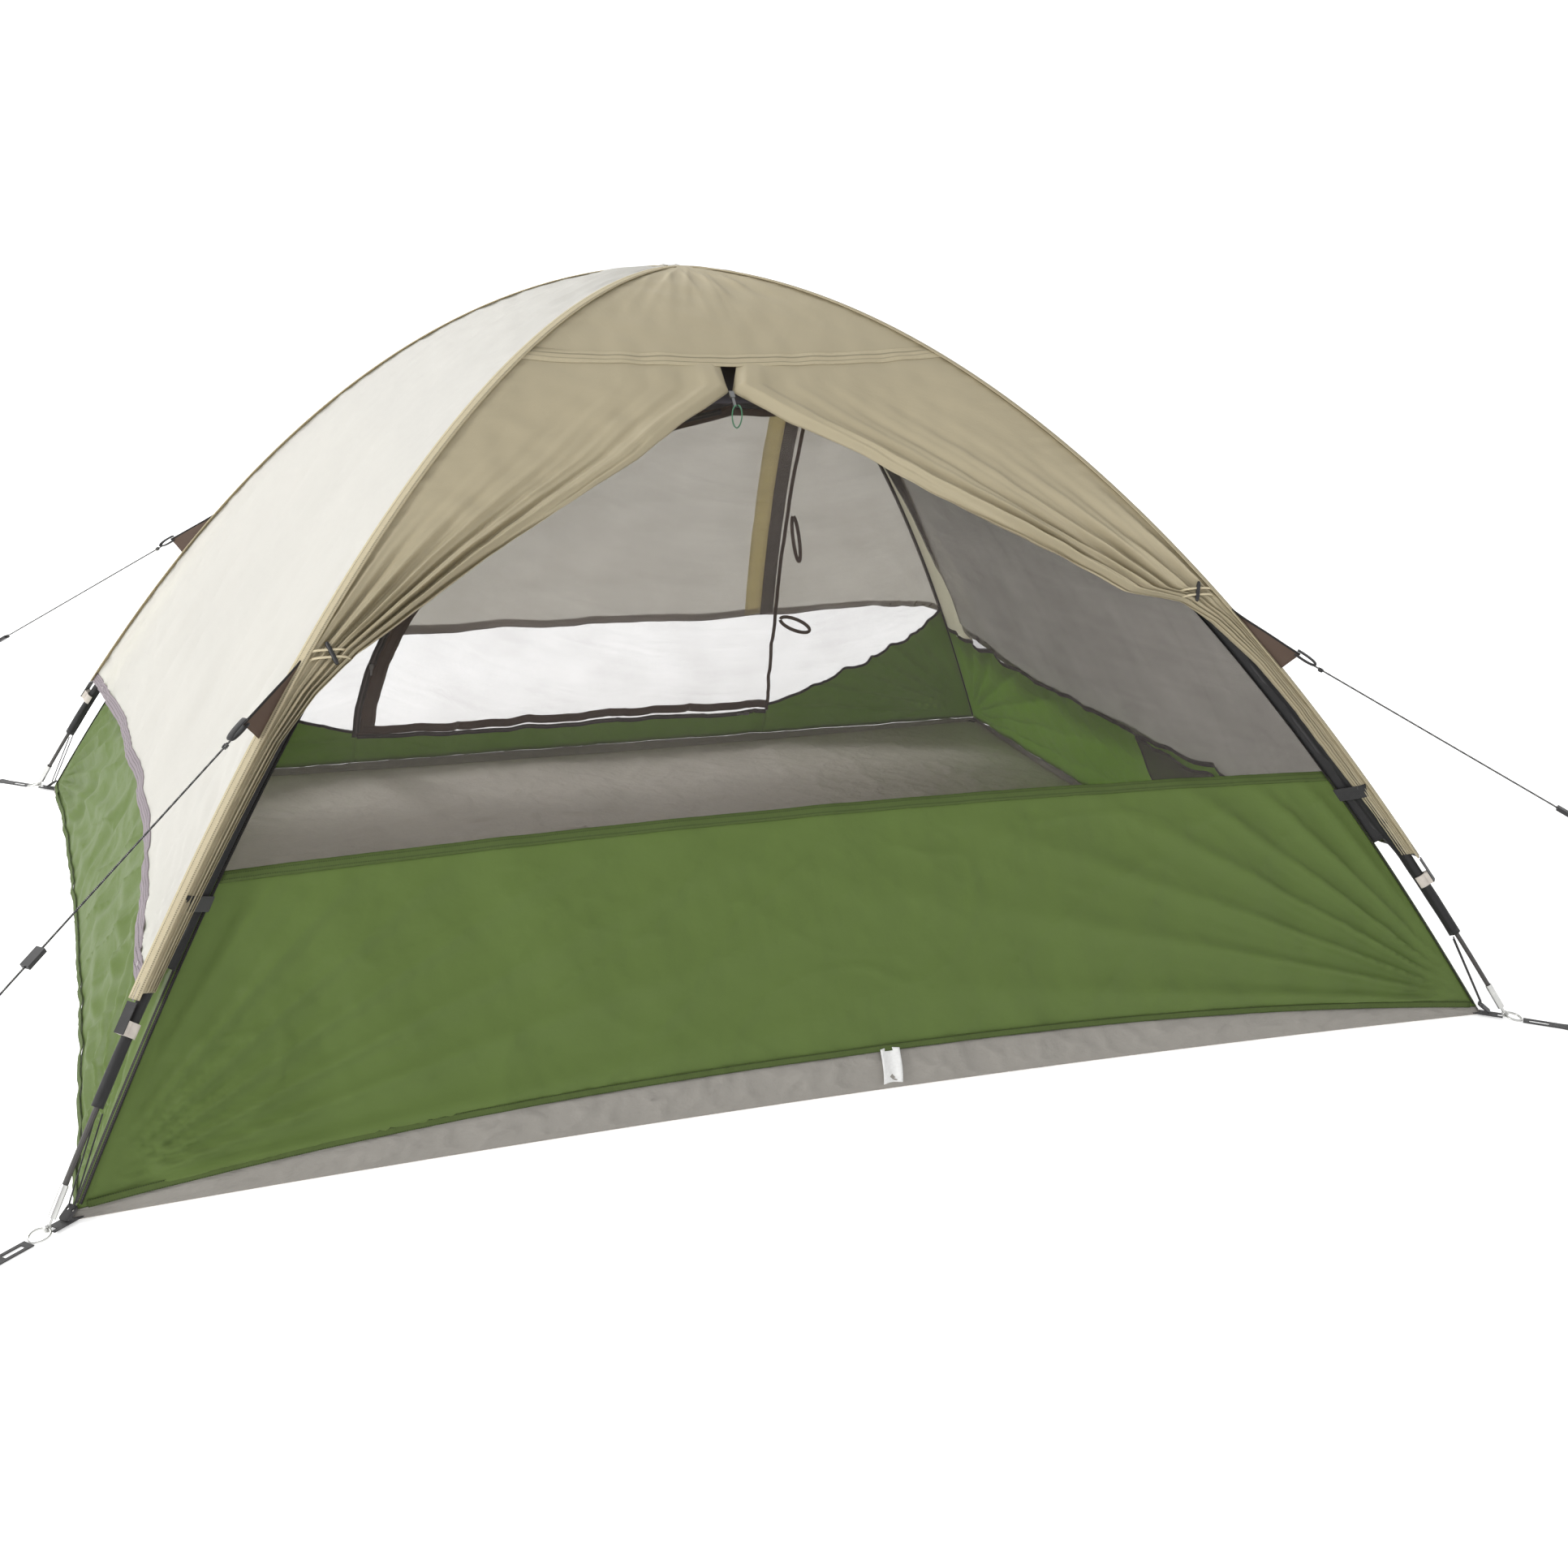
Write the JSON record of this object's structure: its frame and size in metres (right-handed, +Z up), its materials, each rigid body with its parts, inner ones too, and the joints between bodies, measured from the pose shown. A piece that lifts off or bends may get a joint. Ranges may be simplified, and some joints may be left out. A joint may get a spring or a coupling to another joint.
{
  "type": "dome tent",
  "caption": "Two-pole dome tent for a level pitch, with mesh walls, a rear zip door, a raised fly whose front door is tied back, corner stake loops and guylines.",
  "frame": {"origin": "middle of the floor's underside, on the ground", "axes": "+X to the right along the front, +Y to the rear, +Z up"},
  "size_m": [2.915, 2.5349, 1.2714],
  "materials": {
    "pole": "wrapped fibreglass, satin",
    "ferrule": "satin",
    "pole_tip": "satin",
    "pin_steel": "polished wire",
    "black_plastic": "moulded, fine grain",
    "black_webbing": "woven webbing",
    "sleeve_fabric": "coated taffeta",
    "elastic": "braided shock cord",
    "floor_fabric": "coated grey-brown groundsheet",
    "green_fabric": "green taffeta",
    "mesh": "fine dark mosquito net",
    "zip_tape": "coil zip on woven tape",
    "slider_metal": "grey lacquer",
    "brown_tape": "woven tape and taffeta",
    "pocket_mesh": "dark net",
    "pale_fly": "off-white coated taffeta",
    "khaki_fly": "khaki coated taffeta",
    "hem_tape": "grey-mauve binding with a double line of stitches",
    "clip_plastic": "light grey moulded",
    "toggle_elastic": "flat woven loop",
    "green_cord": "braided cord",
    "guyline": "braided line with a light fleck",
    "label": "blank satin label"
  },
  "bodies": {
    "tent": {"pole_front_left": "pole", "pole_front_right": "pole", "pole_ferrules": "ferrule", "pole_tips": "pole_tip", "corner_pins": "pin_steel", "corner_rings": "pin_steel", "corner_hooks": "black_plastic", "corner_webbing": "black_webbing", "sleeve_front_left": "sleeve_fabric", "sleeve_front_right": "sleeve_fabric", "sleeve_elastics": "elastic", "floor": "floor_fabric", "floor_edge_strips": "floor_fabric", "front_wall": "green_fabric", "right_wall": "green_fabric", "rear_wall": "green_fabric", "left_wall": "green_fabric", "front_mesh": "mesh", "right_mesh": "mesh", "rear_mesh": "mesh", "left_mesh": "mesh", "rear_door": "mesh", "rear_door_zips": "zip_tape", "door_tie_loops": "brown_tape", "wall_pocket": "pocket_mesh", "wall_corner_straps": "black_webbing", "fly_front_cap": "khaki_fly", "fly_left": "pale_fly", "fly_right": "pale_fly", "fly_rear": "khaki_fly", "fly_door_left": "khaki_fly", "fly_door_right": "khaki_fly", "fly_crown_patch": "khaki_fly", "fly_hem_tape": "hem_tape", "fly_rear_zip_flap": "brown_tape", "fly_corner_tabs": "brown_tape", "fly_corner_clips": "clip_plastic", "toggle_loops": "toggle_elastic", "guy_tabs": "brown_tape", "guy_tab_loops": "black_webbing", "guyline_front_left": "guyline", "guyline_front_right": "guyline", "guyline_rear_right": "guyline", "guyline_rear_left": "guyline", "care_label": "label"},
    "stake_loop_front_left": {"stake_loop_front_left": "black_webbing"},
    "stake_loop_front_right": {"stake_loop_front_right": "black_webbing"},
    "stake_loop_rear_right": {"stake_loop_rear_right": "black_webbing"},
    "stake_loop_rear_left": {"stake_loop_rear_left": "black_webbing"},
    "tensioner_front_left": {"tensioner_front_left": "black_plastic"},
    "tensioner_front_right": {"tensioner_front_right": "black_plastic"},
    "tensioner_rear_right": {"tensioner_rear_right": "black_plastic"},
    "tensioner_rear_left": {"tensioner_rear_left": "black_plastic"},
    "rear_side_slider": {"rear_side_slider": "slider_metal"},
    "rear_sill_slider": {"rear_sill_slider": "slider_metal"},
    "left_toggle": {"left_toggle": "black_plastic"},
    "right_toggle": {"right_toggle": "black_plastic"},
    "front_zip": {"front_zip_slider": "slider_metal", "zip_pull_cord": "green_cord"}
  },
  "joints": [
    {"name": "stake_loop_front_left_hinge", "type": "hinge", "parent": "tent", "child": "stake_loop_front_left", "pos_m": [-1.27251, -1.11084, 0.0024], "axis": [-0.6576, 0.7533, 0], "range_deg": [0, 80]},
    {"name": "stake_loop_front_right_hinge", "type": "hinge", "parent": "tent", "child": "stake_loop_front_right", "pos_m": [1.27251, -1.11084, 0.0024], "axis": [-0.6576, -0.7533, 0], "range_deg": [0, 80]},
    {"name": "stake_loop_rear_right_hinge", "type": "hinge", "parent": "tent", "child": "stake_loop_rear_right", "pos_m": [1.27251, 1.11084, 0.0024], "axis": [0.6576, -0.7533, 0], "range_deg": [0, 80]},
    {"name": "stake_loop_rear_left_hinge", "type": "hinge", "parent": "tent", "child": "stake_loop_rear_left", "pos_m": [-1.27251, 1.11084, 0.0024], "axis": [0.6576, 0.7533, 0], "range_deg": [0, 80]},
    {"name": "tensioner_front_left_slide", "type": "slide", "parent": "tent", "child": "tensioner_front_left", "axis": [0.6601, 0.5762, 0.4819], "range_m": [0, 0.3]},
    {"name": "tensioner_front_right_slide", "type": "slide", "parent": "tent", "child": "tensioner_front_right", "axis": [-0.6805, 0.594, 0.4291], "range_m": [0, 0.3]},
    {"name": "tensioner_rear_right_slide", "type": "slide", "parent": "tent", "child": "tensioner_rear_right", "axis": [-0.6601, -0.5762, 0.4819], "range_m": [0, 0.3]},
    {"name": "tensioner_rear_left_slide", "type": "slide", "parent": "tent", "child": "tensioner_rear_left", "axis": [0.6601, -0.5762, 0.4819], "range_m": [0, 0.3]},
    {"name": "rear_side_slider_slide", "type": "slide", "parent": "tent", "child": "rear_side_slider", "axis": [0.2902, -0.4499, 0.8446], "range_m": [0, 0.06]},
    {"name": "rear_sill_slider_slide", "type": "slide", "parent": "tent", "child": "rear_sill_slider", "axis": [-1, 0, 0], "range_m": [0, 0.96]},
    {"name": "front_zip_slide", "type": "slide", "parent": "tent", "child": "front_zip", "axis": [0.0577, 0.7264, 0.6849], "range_m": [0, 0.03]},
    {"name": "left_toggle_turn", "type": "hinge", "parent": "tent", "child": "left_toggle", "pos_m": [-0.7821, -0.7176, 0.712], "axis": [0.0351, -0.8395, 0.5423], "range_deg": [-25, 25]},
    {"name": "right_toggle_turn", "type": "hinge", "parent": "tent", "child": "right_toggle", "pos_m": [0.76405, -0.70184, 0.735], "axis": [-0.0349, -0.8345, 0.5499], "range_deg": [-25, 25]}
  ]
}
